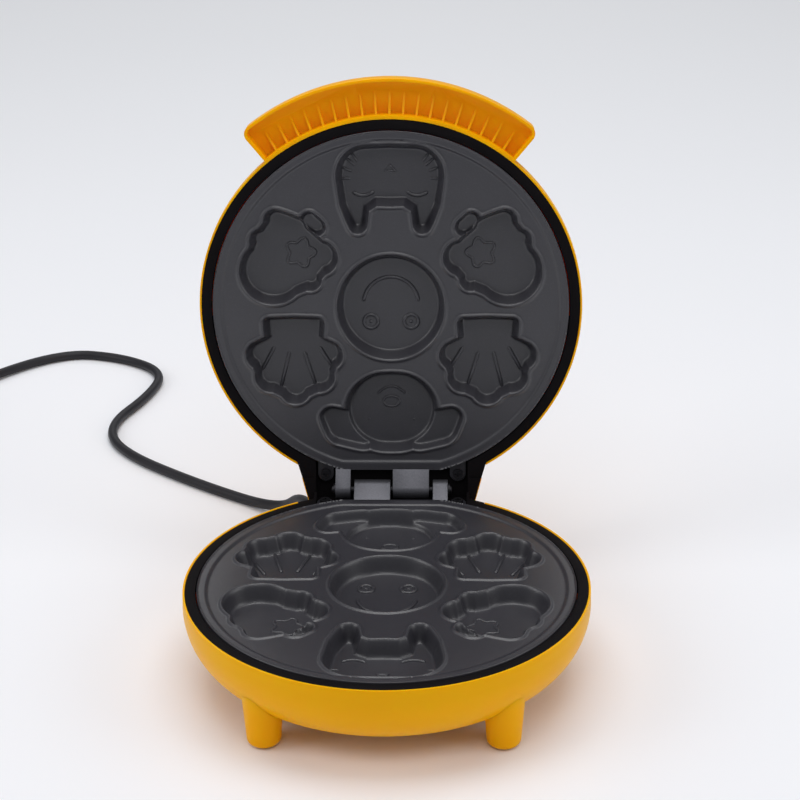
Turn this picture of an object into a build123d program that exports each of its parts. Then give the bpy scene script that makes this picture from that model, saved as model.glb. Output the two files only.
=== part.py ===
from build123d import *
import os
from math import asin, atan2, cos, degrees, hypot, pi, radians, sin, sqrt, tan

# Mini cake maker, lid standing open on its stop. Millimetres, +Z up, table at Z = 0.
# The front faces -Y. The origin lies on the table, midway between the front of the
# bowl and the back of the open lid.

# Where the hinge axis runs, and how far the lid is open
hinge_y = 77.0
hinge_height = 53.5
open_angle = 97.0
half_gap = 0.5

# Baking plate: one casting, used face up in the base and turned over in the lid
plate_radius = 100.0
hinge_reach = 107.4
rear_chord = 95.8
plate_skin = 2.4
rim_band = 3.5
rim_slope = 2.0
rim_rise = 1.5
skirt_depth = 8.0
skirt_wall = 2.4

# Pockets of the baking plate
pocket_depth = 9.0
shallow_depth = 5.5
pocket_draft = 18.0
pocket_wall = 2.0
bead_width = 1.6
bead_rise = 0.9
relief_rise = 0.6
relief_width = 1.5

# Hinge knuckles and pin
knuckle_radius = 5.75
wide_knuckle = (-21.4, -0.7)
narrow_knuckle = (23.6, 32.2)
arm_radius = 2.4
pin_radius = 2.0
pin_running_gap = 0.05
washer_radius = 3.6
washer_thickness = 1.0
washer_gap = 0.15
pin_end = 1.2
pin_chamfer = 0.4

# Screw ears at the back of each plate
ear_u = 38.0
ear_v = -98.9
ear_radius = 4.6
ear_recess = 3.2
ear_thickness = 3.0
screw_radius = 1.5
screw_head_radius = 2.9
screw_depth = 5.0
screw_head_height = 1.6
screw_hole_gap = 0.25
cross_length = 3.6
cross_width = 0.9
cross_depth = 0.9
ear_bite = 3.5
pilot_gap = 0.02

# Heating element, its clips and the reflector under it
element_ring_radius = 58.0
element_radius = 3.3
element_gap = 0.2
element_opening = 28.0
terminal_radius = 1.5
terminal_length = 9.0
terminal_hole = 4.0
clip_boss_radius = 4.0
clip_places = [(49.0, 2.0), (-49.0, 2.0), (0.0, 45.0)]
clip_thickness = 1.2
clip_width = 9.0
clip_overhang = 1.4
reflector_radius = 85.0
reflector_sheet = 0.6
stack_gap = 0.1

# Screws that hold the front of each plate, from beneath
front_boss_ring = 90.5
front_boss_angles = (50.0, 130.0)
front_boss_radius = 4.0
front_boss_end = 8.4
ring_tab_gap = 0.1
ring_tab_thickness = 2.4
ring_tab_width = 11.0
ring_tab_inset = 5.0

# Heat-resistant inner rings
ring_gap = 0.6
ring_drop = 0.6
ring_outer_radius = 106.1
ring_flange = 2.4
ring_skirt_wall = 2.0
ring_depth = 11.0
ring_screw_ring = 91.5
ring_screw_angles = (187.0, 228.0, 312.0, 353.0)
post_radius = 4.0
post_gap = 0.1

# Hinge block of the base ring and hinge trough of the lid ring
block_half = 44.5
block_cheek = 1.5
block_corner_half = 53.0
hinge_room = 6.9
block_back = 0.8
trough_half = 45.2
trough_cheek = 1.6
trough_wall = 1.5
neck_root_half = 55.0
neck_root_v = -88.5
neck_end_half = 51.5
neck_end_v = -100.7

# Casings
shell_radius = 107.6
shell_fit = 0.2
shell_wall = 2.2
lip_drop = 0.4
lip_lean = 0.3
bowl_corner = 33.0
bowl_widest = 8.0
dome_corner = 30.0
dome_widest = 8.0

# Tail of the lid casing, behind the hinge
tail_front_half = 53.0
tail_front_v = -84.0
tail_root_half = 51.7
tail_end_half = 47.4
tail_wall = 1.7
tail_height = 19.0
tail_roof = 2.0
tail_round = 9.0

# Handle, one moulding with the lid casing
handle_radius = 128.3
handle_half_angle = 39.6
handle_skin = 2.0
handle_rim_wall = 1.6
handle_depth = 12.0
handle_corner = 5.0
handle_rib_count = 19
handle_rib_pitch = 3.9
handle_rib_wall = 1.2
handle_rib_end = 120.5
handle_rib_rise = 7.0

# Feet
front_foot_x = 60.5
front_foot_v = 72.0
rear_foot_x = 50.0
rear_foot_v = -78.0
foot_top_radius = 11.8
foot_end_radius = 8.6
foot_edge_round = 3.5
foot_seat_gap = 0.1
pad_radius = 5.0
pad_thickness = 1.8
pad_proud = 0.6
pad_gap = 0.1
foot_post_level = 24.0
foot_screw_length = 22.0

# Vents in the floor of the bowl
vent_count = 12
vent_length = 16.0
vent_width = 2.6
vent_ring = 48.0

# Electrical parts
thermostat_radius = 8.5
thermostat_height = 9.0
bracket_length = 44.0
bracket_width = 12.0
bracket_sheet = 1.0
blade_width = 4.8
blade_sheet = 0.8
blade_length = 6.0
fuse_radius = 2.2
fuse_length = 16.0
fuse_place = (32.0, -6.0)
fuse_clip_wall = 0.6
fuse_clip_width = 6.0
block_length = 34.0
block_width = 15.0
block_height = 13.0
block_place = (-8.0, -40.0)

# Indicator lamps in the top of the lid
lamp_places = ((-9.0, 62.0), (9.0, 62.0))
lens_radius = 3.6
lens_flange_radius = 5.0
lens_flange = 1.2
lens_depth = 7.0
lens_gap = 0.1
neon_radius = 2.4
neon_length = 8.0
neon_gap = 0.2

# Mains cord, strain relief, plug
cord_radius = 3.15
cord_level_gap = 0.1
gland_turn = 20.0
gland_w = 24.0
gland_boss_radius = 9.0
gland_boss_proud = 3.0
gland_neck_radius = 5.0
gland_neck_gap = 0.15
gland_flange_radius = 7.5
gland_flange = 2.0
gland_length = 28.0
gland_tip_radius = 4.4
gland_root_radius = 6.2
gland_inside = 9.0
coil_inner_radius = 29.3
coil_gap = 0.6
tie_thickness = 0.8
tie_gap = 0.5
tie_width = 6.0
plug_lead = 42.0
plug_length = 36.0
plug_width = 25.0
plug_height = 22.5
plug_round = 4.0
plug_edge = 1.0
plug_collar_length = 12.0
plug_collar_radius = 5.2
plug_pin_radius = 2.0
plug_pin_length = 19.0
plug_pin_spacing = 18.6

# Derived levels, measured from the rim plane into a housing
flat_level = rim_rise
skin_end = rim_rise + plate_skin
cup_end = rim_rise + pocket_depth + pocket_wall
element_level = cup_end + element_gap + element_radius
boss_end = element_level + element_radius + stack_gap
reflector_level = boss_end + clip_thickness + stack_gap
head_level = reflector_level + reflector_sheet
reflector_edge = cup_end + element_gap
tab_level = front_boss_end + ring_tab_gap
shell_lip_radius = ring_outer_radius + shell_fit
ledge_level = ring_depth + shell_fit
table_level = hinge_height - half_gap
bowl_depth = bowl_widest + bowl_corner
dome_depth = dome_widest + dome_corner
cavity_level = hinge_room - half_gap

# Both housings are drawn the same way: x across, y from the plate's centre towards
# the front edge, z from the rim plane into the housing.
turn = radians(open_angle)
base_face = Plane(
    origin=(0, hinge_y - hinge_reach, hinge_height - half_gap),
    x_dir=(1, 0, 0),
    z_dir=(0, 0, -1),
)
lid_face = Plane(
    origin=(
        0,
        hinge_y - hinge_reach * cos(turn) + half_gap * sin(turn),
        hinge_height + hinge_reach * sin(turn) + half_gap * cos(turn),
    ),
    x_dir=(-1, 0, 0),
    z_dir=(0, sin(turn), cos(turn)),
)


def across(face, u=0.0):
    # Section plane square to the hinge axis: x is v, y is depth
    return Plane(origin=face.origin, x_dir=face.y_dir, z_dir=face.x_dir).offset(u)


def through(face):
    # Section plane through the plate's centre: x is u, y is depth
    return Plane(origin=face.origin, x_dir=face.x_dir, z_dir=-face.y_dir)


os.makedirs("parts", exist_ok=True)


def finish(piece, name, face):
    # Puts a piece drawn about the plate's centre where it belongs, and writes it
    with BuildPart() as placed:
        add(face.from_local_coords(piece))
    placed.part.label = name
    export_step(placed.part, f"parts/{name}.step")
    solids = placed.part.solids()
    print(name, len(solids), round(placed.part.volume))


def both_sides(lobes):
    return [(-u, v, r) for u, v, r in lobes]


# Each pocket is a union of rounded lobes. A lobe is the hull of its circles (u, v, radius),
# drawn at the crest of the bead round the pocket.
smile_lobe = [(0, 0, 31.0)]
cat_head = [(-13, 75, 17.8), (13, 75, 17.8)]
cat_ear = [(-18, 47.5, 6.2), (-19.5, 60, 9.4)]
cat_cheek = [(-19.5, 60, 9.4), (-13, 75, 17.8)]
dog_head = [(-3, -61.5, 24.5), (3, -61.5, 24.5)]
dog_ear = [(-34, -65, 7.6), (-28, -71, 11), (-16, -73, 11.8)]
shell_root = (-54.7, -18, 8)
shell_petals = [
    [(-54.7, -47.5, 10), shell_root],
    [(-68.2, -40.5, 10), shell_root],
    [(-41.2, -40.5, 10), shell_root],
    [(-73.5, -28, 9.5), shell_root],
    [(-35.9, -28, 9.5), shell_root],
    [(-68.3, -9.5, 4.7), (-41.1, -9.5, 4.7), (-66, -20, 6), (-43.4, -20, 6)],
    [
        (-54.7, -47.5, 8.4),
        (-68.2, -40.5, 8.4),
        (-41.2, -40.5, 8.4),
        (-73.5, -28, 7.9),
        (-35.9, -28, 7.9),
        (-66, -20, 6.4),
        (-43.4, -20, 6.4),
    ],
]
star_middle = (-58, 28, 14)
star_lobes = [
    [(-71.5, 38, 8), star_middle],
    [(-63.5, 49, 8), (-53, 44, 9), star_middle],
    [(-39.5, 28.5, 11), star_middle],
    [(-45, 16, 7.3), star_middle],
    [(-66, 20.5, 19.5), star_middle],
    [
        (-71.5, 38, 6.4),
        (-63.5, 49, 6.4),
        (-53, 44, 7.4),
        (-39.5, 28.5, 9.4),
        (-45, 16, 5.7),
        (-66, 20.5, 17.9),
    ],
]
star_tab = [(-45, 49.3, 6.3), (-41, 46, 6)]

# Raised lines on the pocket floors: straight strokes (u, v) to (u, v)
shell_ribs = [
    ((-67, -22), (-74.5, -36.5)),
    ((-58.7, -25), (-64.3, -45.5)),
    ((-50.7, -25), (-45.1, -45.5)),
    ((-42.4, -22), (-34.9, -36.5)),
]
whiskers = [
    ((-25.5, 74), (-22, 74)),
    ((-25, 79.5), (-20.5, 81)),
    ((-22.5, 84.5), (-18, 83)),
]
star_centre = (-50.5, 33.5)
star_radius = 9.6
star_inner_radius = 6.6
star_waist = 0.62
eye_places = [(-12, -7.5), (12, -7.5)]
eye_radius = 4.2
eye_dot_radius = 1.3
smile_line = [(-15.5, 5.5), (0, 19.5), (15.5, 5.5)]


def outline(depth, inset):
    # The plate's outline: a circle cut off at the hinge side
    with BuildSketch(Plane.XY.offset(depth)) as shape:
        Circle(plate_radius - inset)
        with Locations((0, inset - rear_chord - plate_radius)):
            Rectangle(2 * plate_radius, 2 * plate_radius, mode=Mode.SUBTRACT)
    return shape.sketch


def lobe_sketch(depth, lobe, grow):
    with BuildSketch(Plane.XY.offset(depth)) as shape:
        for u, v, r in lobe:
            with Locations((u, v)):
                Circle(r + grow)
        if len(lobe) > 1:
            make_hull()
    return shape.sketch


def drafted(level, lobes, grow, depth):
    # Lobes joined, each with walls that narrow into the housing
    end_grow = grow - depth * tan(radians(pocket_draft))
    with BuildPart() as form:
        for lobe in lobes:
            top = lobe_sketch(level, lobe, grow)
            end = lobe_sketch(level + depth, lobe, end_grow)
            loft([top, end], ruled=True)
    return form.part


def bead(lobes):
    # The low bead that runs round a pocket
    with BuildPart() as form:
        for lobe in lobes:
            extrude(lobe_sketch(flat_level, lobe, bead_width / 2), amount=-bead_rise)
    return form.part


def pair(form):
    return [form, mirror(form, about=Plane.YZ)]


def stroke(start, end, width, depth=0):
    with BuildSketch(Plane.XY.offset(depth)) as shape:
        for u, v in (start, end):
            with Locations((u, v)):
                Circle(width / 2)
        make_hull()
    return shape.sketch


def star_points(radius):
    tips = [radius * (star_waist if k % 2 else 1) for k in range(10)]
    return [(r * sin(pi * k / 5), r * cos(pi * k / 5)) for k, r in enumerate(tips)]


def knuckle(span):
    with BuildSketch(across(Plane.XY, span[0])) as shape:
        with Locations((-hinge_reach, -half_gap)):
            Circle(knuckle_radius)
        with Locations((-rear_chord + arm_radius, flat_level + arm_radius)):
            Circle(arm_radius)
        make_hull()
    return shape.sketch


front_bosses = [
    (front_boss_ring * cos(radians(a)), front_boss_ring * sin(radians(a)))
    for a in front_boss_angles
]
ear_places = [(-ear_u, ear_v), (ear_u, ear_v)]
hinge_sweep = narrow_knuckle[1] + washer_gap
floor_level = rim_rise + pocket_depth
pin_half = hinge_sweep + washer_thickness + pin_end
element_angle = radians(element_opening / 2 - 90)
element_start = (
    element_ring_radius * cos(element_angle),
    element_ring_radius * sin(element_angle),
    element_level,
)
element_heading = (-sin(element_angle), cos(element_angle), 0)

# Pocket forms, the left ones mirrored to the right
middle_groups = [
    ([smile_lobe], pocket_depth),
    (
        [cat_cheek, both_sides(cat_cheek), cat_head, cat_ear, both_sides(cat_ear)],
        pocket_depth,
    ),
    ([dog_head], pocket_depth),
]
side_groups = [
    (shell_petals, pocket_depth),
    (star_lobes, pocket_depth),
    ([star_tab], shallow_depth),
    ([dog_ear], shallow_depth),
]
cups = []
beads = []
pockets = []
for lobes, depth in middle_groups + side_groups:
    cup = drafted(flat_level, lobes, pocket_wall - bead_width / 2, depth + pocket_wall)
    crest = bead(lobes)
    pocket = drafted(flat_level - bead_rise, lobes, -bead_width / 2, depth + bead_rise)
    for forms, form in ((cups, cup), (beads, crest), (pockets, pocket)):
        forms += [form] if (lobes, depth) in middle_groups else pair(form)

# The casting, drawn once about the plate's centre
with BuildPart() as casting:
    extrude(outline(0, 0), amount=skin_end)
    loft(
        [outline(0, rim_band), outline(flat_level, rim_band + rim_slope)],
        ruled=True,
        mode=Mode.SUBTRACT,
    )
    extrude(outline(skin_end, 0) - outline(skin_end, skirt_wall), amount=skirt_depth - skin_end)
    add(cups)
    add(beads)
    with BuildSketch(Plane.XY.offset(skin_end)):
        with Locations(*clip_places):
            Circle(clip_boss_radius)
    extrude(amount=boss_end - skin_end - stack_gap)
    with BuildSketch(Plane.XY.offset(skin_end)):
        with Locations(*front_bosses):
            Circle(front_boss_radius)
    extrude(amount=front_boss_end - skin_end)
    for u, v in ear_places:
        root = (u, -sqrt(plate_radius**2 - u**2) + ear_radius)
        extrude(stroke((u, v), root, 2 * ear_radius, ear_recess), amount=ear_thickness)
    for span in (wide_knuckle, narrow_knuckle):
        extrude(knuckle(span), amount=span[1] - span[0])
    add(pockets, mode=Mode.SUBTRACT)
    with BuildSketch(Plane.XY.offset(floor_level)):
        for start, end in shell_ribs + whiskers:
            rib = stroke(start, end, relief_width)
            add(rib)
            add(mirror(rib, about=Plane.YZ))
        for side in (1, -1):
            with Locations((side * star_centre[0], star_centre[1])):
                Polygon(*star_points(star_radius), align=None)
                Polygon(*star_points(star_inner_radius), align=None, mode=Mode.SUBTRACT)
        with Locations(*eye_places):
            Circle(eye_radius)
            Circle(eye_radius - relief_width, mode=Mode.SUBTRACT)
            Circle(eye_dot_radius)
        SlotArc(ThreePointArc(*smile_line, mode=Mode.PRIVATE), relief_width)
    extrude(amount=-relief_rise)
    with BuildSketch(across(Plane.XY, -hinge_sweep)):
        with Locations((-hinge_reach, -half_gap)):
            Circle(pin_radius + pin_running_gap)
    extrude(amount=2 * hinge_sweep, mode=Mode.SUBTRACT)
    with BuildSketch(Plane.XY.offset(ear_recess)):
        with Locations(*ear_places):
            Circle(screw_radius + screw_hole_gap)
    extrude(amount=ear_thickness, mode=Mode.SUBTRACT)
    with BuildSketch(Plane.XY.offset(front_boss_end)):
        with Locations(*front_bosses):
            Circle(screw_radius + pilot_gap)
    extrude(amount=-screw_depth, mode=Mode.SUBTRACT)
    with BuildSketch(Plane.XY.offset(boss_end - stack_gap)):
        with Locations(*clip_places):
            Circle(screw_radius + pilot_gap)
    extrude(amount=-screw_depth, mode=Mode.SUBTRACT)

for name, face in (("lower_plate", base_face), ("upper_plate", lid_face)):
    finish(casting.part, name, face)

# Hinge pin through all four knuckles, and the washers that keep it in
with BuildPart() as hinge_pin:
    with BuildSketch(across(Plane.XY, -pin_half)):
        with Locations((-hinge_reach, -half_gap)):
            Circle(pin_radius)
    extrude(amount=2 * pin_half)
    chamfer(hinge_pin.edges().filter_by(GeomType.CIRCLE), pin_chamfer)
finish(hinge_pin.part, "hinge_pin", base_face)

with BuildPart() as pin_washers:
    for start in (hinge_sweep, -hinge_sweep - washer_thickness):
        with BuildSketch(across(Plane.XY, start)):
            with Locations((-hinge_reach, -half_gap)):
                Circle(washer_radius)
                Circle(pin_radius + pilot_gap, mode=Mode.SUBTRACT)
        extrude(amount=washer_thickness)
finish(pin_washers.part, "pin_washers", base_face)

# Tubular heating element, a nearly closed ring with a terminal pin at each end
with BuildPart() as element:
    with BuildLine(Plane.XY.offset(element_level)):
        CenterArc((0, 0), element_ring_radius, element_opening / 2 - 90, 360 - element_opening)
    with BuildSketch(Plane(element_start, z_dir=element_heading)):
        Circle(element_radius)
    sweep()
    for side in (1, -1):
        with BuildSketch(Plane.XY.offset(element_level)):
            with Locations((side * element_start[0], element_start[1])):
                Circle(terminal_radius)
        extrude(amount=element_radius + terminal_length)
for name, face in (("lower_heating_element", base_face), ("upper_heating_element", lid_face)):
    finish(element.part, name, face)

# Clips that press the element against the plate
with BuildPart() as clips:
    for u, v in clip_places:
        heading = degrees(atan2(v, u))
        reach = element_ring_radius + element_radius + clip_overhang
        inner = hypot(u, v) - clip_boss_radius
        with BuildSketch(Plane.XY.offset(boss_end)):
            with PolarLocations((reach + inner) / 2, 1, heading):
                Rectangle(reach - inner, clip_width)
            with Locations((u, v)):
                Circle(screw_radius + screw_hole_gap, mode=Mode.SUBTRACT)
        extrude(amount=clip_thickness)
        with BuildSketch(Plane.XY.offset(boss_end)):
            with PolarLocations(reach - clip_overhang / 2 + stack_gap, 1, heading):
                Rectangle(clip_overhang - 2 * stack_gap, clip_width)
        extrude(amount=-element_radius)
for name, face in (("lower_element_clips", base_face), ("upper_element_clips", lid_face)):
    finish(clips.part, name, face)

# Reflector: a thin steel dish behind the element
with BuildPart() as reflector:
    with BuildSketch(Plane.XY.offset(reflector_edge)):
        Circle(reflector_radius)
    extrude(amount=head_level - reflector_edge)
    with BuildSketch(Plane.XY.offset(reflector_edge)):
        Circle(reflector_radius - reflector_sheet)
    extrude(amount=reflector_level - reflector_edge, mode=Mode.SUBTRACT)
    with BuildSketch(Plane.XY.offset(reflector_level)):
        with Locations(*clip_places):
            Circle(screw_radius + screw_hole_gap)
        with Locations((element_start[0], element_start[1]), (-element_start[0], element_start[1])):
            Circle(terminal_hole)
    extrude(amount=reflector_sheet, mode=Mode.SUBTRACT)
for name, face in (("lower_reflector", base_face), ("upper_reflector", lid_face)):
    finish(reflector.part, name, face)


def screws(places, head_start, shank_end, recess=False):
    # Pan heads from head_start, shanks towards shank_end; recess cuts a cross in each head
    way = 1 if shank_end > head_start else -1
    with BuildPart() as group:
        with BuildSketch(Plane.XY.offset(head_start)):
            with Locations(*places):
                Circle(screw_head_radius)
        extrude(amount=way * screw_head_height)
        with BuildSketch(Plane.XY.offset(head_start)):
            with Locations(*places):
                Circle(screw_radius)
        extrude(amount=shank_end - head_start)
        if recess:
            with BuildSketch(Plane.XY.offset(head_start)):
                with Locations(*places):
                    Rectangle(cross_length, cross_width)
                    Rectangle(cross_width, cross_length)
            extrude(amount=way * cross_depth, mode=Mode.SUBTRACT)
    return group.part


def ring_places(radius, angles):
    return [(radius * cos(radians(a)), radius * sin(radians(a))) for a in angles]


ring_screw_places = ring_places(ring_screw_ring, ring_screw_angles)
ear_screws = screws(ear_places, ear_recess - screw_head_height, cavity_level + ear_bite, True)
front_screws = screws(
    front_bosses,
    tab_level + ring_tab_thickness + screw_head_height,
    front_boss_end - screw_depth,
)
clip_screws = screws(
    clip_places, head_level + screw_head_height, boss_end - stack_gap - screw_depth
)
ring_screws = screws(
    ring_screw_places, tab_level - screw_head_height, tab_level + ring_tab_thickness + screw_depth
)
for side, face in (("lower", base_face), ("upper", lid_face)):
    finish(ear_screws, f"{side}_ear_screws", face)
    finish(front_screws, f"{side}_plate_screws", face)
    finish(clip_screws, f"{side}_clip_screws", face)
    finish(ring_screws, f"{side}_ring_screws", face)


def ring_body():
    # Flange and skirt round the plate, with the tabs that carry the plate and the ring's screws
    with BuildPart() as ring:
        with BuildSketch(Plane.XY.offset(ring_drop)):
            Circle(ring_outer_radius)
        extrude(amount=ring_depth - ring_drop)
        with BuildSketch(Plane.XY.offset(ring_drop)):
            Circle(plate_radius + ring_gap)
        extrude(amount=ring_flange, mode=Mode.SUBTRACT)
        with BuildSketch(Plane.XY.offset(ring_drop + ring_flange)):
            Circle(ring_outer_radius - ring_skirt_wall)
        extrude(amount=ring_depth - ring_drop - ring_flange, mode=Mode.SUBTRACT)
        tab_start = front_boss_ring - ring_tab_inset
        tab_end = ring_outer_radius - ring_skirt_wall / 2
        with BuildSketch(Plane.XY.offset(tab_level)):
            for angle in front_boss_angles + ring_screw_angles:
                with PolarLocations((tab_start + tab_end) / 2, 1, angle):
                    Rectangle(tab_end - tab_start, ring_tab_width)
            with Locations(*(front_bosses + ring_screw_places)):
                Circle(screw_radius + screw_hole_gap, mode=Mode.SUBTRACT)
        extrude(amount=ring_tab_thickness)
    return ring.part


def hinge_space(half, end_v):
    # Room round the knuckles, with the pilot holes of the ear screws in its floor
    with BuildPart() as space:
        with BuildSketch(Plane.XY.offset(ring_drop)):
            with Locations((0, (neck_root_v + end_v) / 2)):
                Rectangle(2 * half, neck_root_v - end_v)
        extrude(amount=cavity_level - ring_drop)
        with BuildSketch(Plane.XY.offset(cavity_level)):
            with Locations(*ear_places):
                Circle(screw_radius + pilot_gap)
        extrude(amount=ear_bite + pilot_gap)
    return space.part


def neck_plan(depth, grow):
    # Plan of the lid ring's neck, which reaches back through the lid casing's rim
    with BuildSketch(Plane.XY.offset(depth)) as plan:
        with BuildLine():
            Polyline(
                (-neck_root_half - grow, neck_root_v),
                (-neck_end_half - grow, neck_end_v - grow),
                (neck_end_half + grow, neck_end_v - grow),
                (neck_root_half + grow, neck_root_v),
                close=True,
            )
        make_face()
    return plan.sketch


plain_ring = ring_body()
back_v = block_back - hinge_reach
with BuildPart() as base_inner_ring:
    add(plain_ring)
    with BuildSketch(Plane.XY.offset(ring_drop)):
        with Locations((0, (neck_root_v + back_v) / 2)):
            Rectangle(2 * block_half, neck_root_v - back_v)
        add(outline(ring_drop, -ring_gap), mode=Mode.SUBTRACT)
    extrude(amount=ring_depth - ring_drop)
    with BuildSketch(Plane.XY.offset(ring_drop)):
        Circle(shell_radius - lip_lean)
        Circle(ring_outer_radius - ring_skirt_wall / 2, mode=Mode.SUBTRACT)
        with Locations((0, -shell_radius)):
            Rectangle(2 * block_corner_half, shell_radius, mode=Mode.INTERSECT)
    extrude(amount=ring_depth - ring_drop)
    add(hinge_space(block_half - block_cheek, -2 * hinge_reach), mode=Mode.SUBTRACT)
    with BuildSketch(Plane.XY.offset(ring_drop)):
        with Locations((0, back_v - plate_radius / 2)):
            Rectangle(2 * block_half, plate_radius)
    extrude(amount=ring_depth - ring_drop, mode=Mode.SUBTRACT)
finish(base_inner_ring.part, "base_inner_ring", base_face)

trough_v = -hinge_reach - hinge_room
trough_end_v = trough_v - trough_wall
with BuildPart() as lid_inner_ring:
    add(plain_ring)
    with BuildSketch(Plane.XY.offset(ring_drop)):
        add(neck_plan(ring_drop, 0))
        with Locations((0, (neck_root_v + trough_end_v) / 2)):
            Rectangle(2 * trough_half, neck_root_v - trough_end_v)
        add(outline(ring_drop, -ring_gap), mode=Mode.SUBTRACT)
    extrude(amount=ring_depth - ring_drop)
    add(hinge_space(trough_half - trough_cheek, trough_v), mode=Mode.SUBTRACT)
finish(lid_inner_ring.part, "lid_inner_ring", lid_face)


def outer_form(corner, widest, grow=0.0):
    # Outer form of a casing as a solid of revolution, rim to crown
    radius = shell_radius + grow
    bend = corner + grow
    with BuildPart() as form:
        with BuildSketch(through(Plane.XY)):
            with BuildLine():
                CenterArc((radius - bend, widest), bend, 0, 90)
                Polyline(
                    (radius - bend, widest + bend),
                    (0, widest + bend),
                    (0, lip_drop),
                    (radius - lip_lean, lip_drop),
                    (radius, widest),
                )
            make_face()
        revolve(axis=Axis.Z)
    return form.part


def hollow(corner, widest, posts):
    # Inner space of a casing, less its screw posts: (u, v, level where the post starts)
    bend = corner - shell_wall
    start = degrees(asin((ledge_level - widest) / bend))
    middle = shell_radius - corner
    with BuildPart() as form:
        with BuildSketch(through(Plane.XY)):
            with BuildLine():
                arc = CenterArc((middle, widest), bend, start, 90 - start)
                Polyline(
                    arc @ 1,
                    (0, widest + bend),
                    (0, 0),
                    (shell_lip_radius, 0),
                    (shell_lip_radius, ledge_level),
                    arc @ 0,
                )
            make_face()
        revolve(axis=Axis.Z)
        for u, v, level in posts:
            with BuildSketch(Plane.XY.offset(level)):
                with Locations((u, v)):
                    Circle(post_radius)
            extrude(amount=widest + corner, mode=Mode.SUBTRACT)
    return form.part


post_level = tab_level + ring_tab_thickness + post_gap
ring_posts = [(u, v, post_level) for u, v in ring_screw_places]
foot_places = [
    (-front_foot_x, front_foot_v),
    (front_foot_x, front_foot_v),
    (-rear_foot_x, rear_foot_v),
    (rear_foot_x, rear_foot_v),
]
foot_posts = [(u, v, foot_post_level) for u, v in foot_places]

# Where the cord leaves the bowl: a boss on the rear left wall
gland_radius = shell_radius - bowl_corner + sqrt(bowl_corner**2 - (gland_w - bowl_widest) ** 2)
gland_out = (-sin(radians(gland_turn)), -cos(radians(gland_turn)))
gland_seat = gland_radius + gland_boss_proud
gland_plane = Plane(
    origin=(gland_seat * gland_out[0], gland_seat * gland_out[1], gland_w),
    x_dir=(gland_out[1], -gland_out[0], 0),
    z_dir=(gland_out[0], gland_out[1], 0),
)

bowl = outer_form(bowl_corner, bowl_widest)
bowl_hollow = hollow(bowl_corner, bowl_widest, ring_posts + foot_posts)
notch_half = block_corner_half + shell_fit
with BuildPart() as base_shell:
    add(bowl)
    with BuildSketch(gland_plane):
        Circle(gland_boss_radius)
    extrude(amount=-gland_boss_proud - shell_wall)
    add(bowl_hollow, mode=Mode.SUBTRACT)
    with BuildSketch(Plane.XY):
        with Locations((0, -shell_radius)):
            Rectangle(2 * notch_half, shell_radius)
    extrude(amount=ledge_level, mode=Mode.SUBTRACT)
    with BuildSketch(gland_plane):
        Circle(gland_neck_radius + gland_neck_gap)
    extrude(amount=-gland_boss_proud - 3 * shell_wall, mode=Mode.SUBTRACT)
    with BuildSketch(Plane.XY.offset(foot_post_level)):
        with Locations(*foot_places):
            Circle(screw_radius + pilot_gap)
    extrude(amount=bowl_depth, mode=Mode.SUBTRACT)
    with BuildSketch(Plane.XY.offset(post_level)):
        with Locations(*ring_screw_places):
            Circle(screw_radius + pilot_gap)
    extrude(amount=screw_depth, mode=Mode.SUBTRACT)
    with BuildSketch(Plane.XY.offset(bowl_depth - 2 * shell_wall)):
        with PolarLocations(vent_ring, vent_count):
            SlotOverall(vent_length, vent_width)
    extrude(amount=2 * shell_wall, mode=Mode.SUBTRACT)
finish(base_shell.part, "base_shell", base_face)

# Lid casing: dome, tail round the hinge and handle are one moulding
dome = outer_form(dome_corner, dome_widest)
dome_hollow = hollow(dome_corner, dome_widest, ring_posts)
tail_end_v = trough_end_v - shell_fit - tail_wall


def handle_plan(depth, inset):
    inner = shell_lip_radius + (shell_radius - shell_lip_radius) / 2 + inset
    outer = handle_radius - inset
    half = radians(handle_half_angle)
    with BuildSketch(Plane.XY.offset(depth)) as plan:
        Circle(outer)
        Circle(inner, mode=Mode.SUBTRACT)
        far = 2 * handle_radius
        apex = inset / sin(half)
        with BuildLine():
            Polyline(
                (0, apex),
                (far * sin(half), apex + far * cos(half)),
                (-far * sin(half), apex + far * cos(half)),
                close=True,
            )
        make_face(mode=Mode.INTERSECT)
        corners = plan.vertices().filter_by(lambda p: hypot(p.X, p.Y) > outer - 1)
        fillet(corners, handle_corner - inset)
    return plan.sketch


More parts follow.
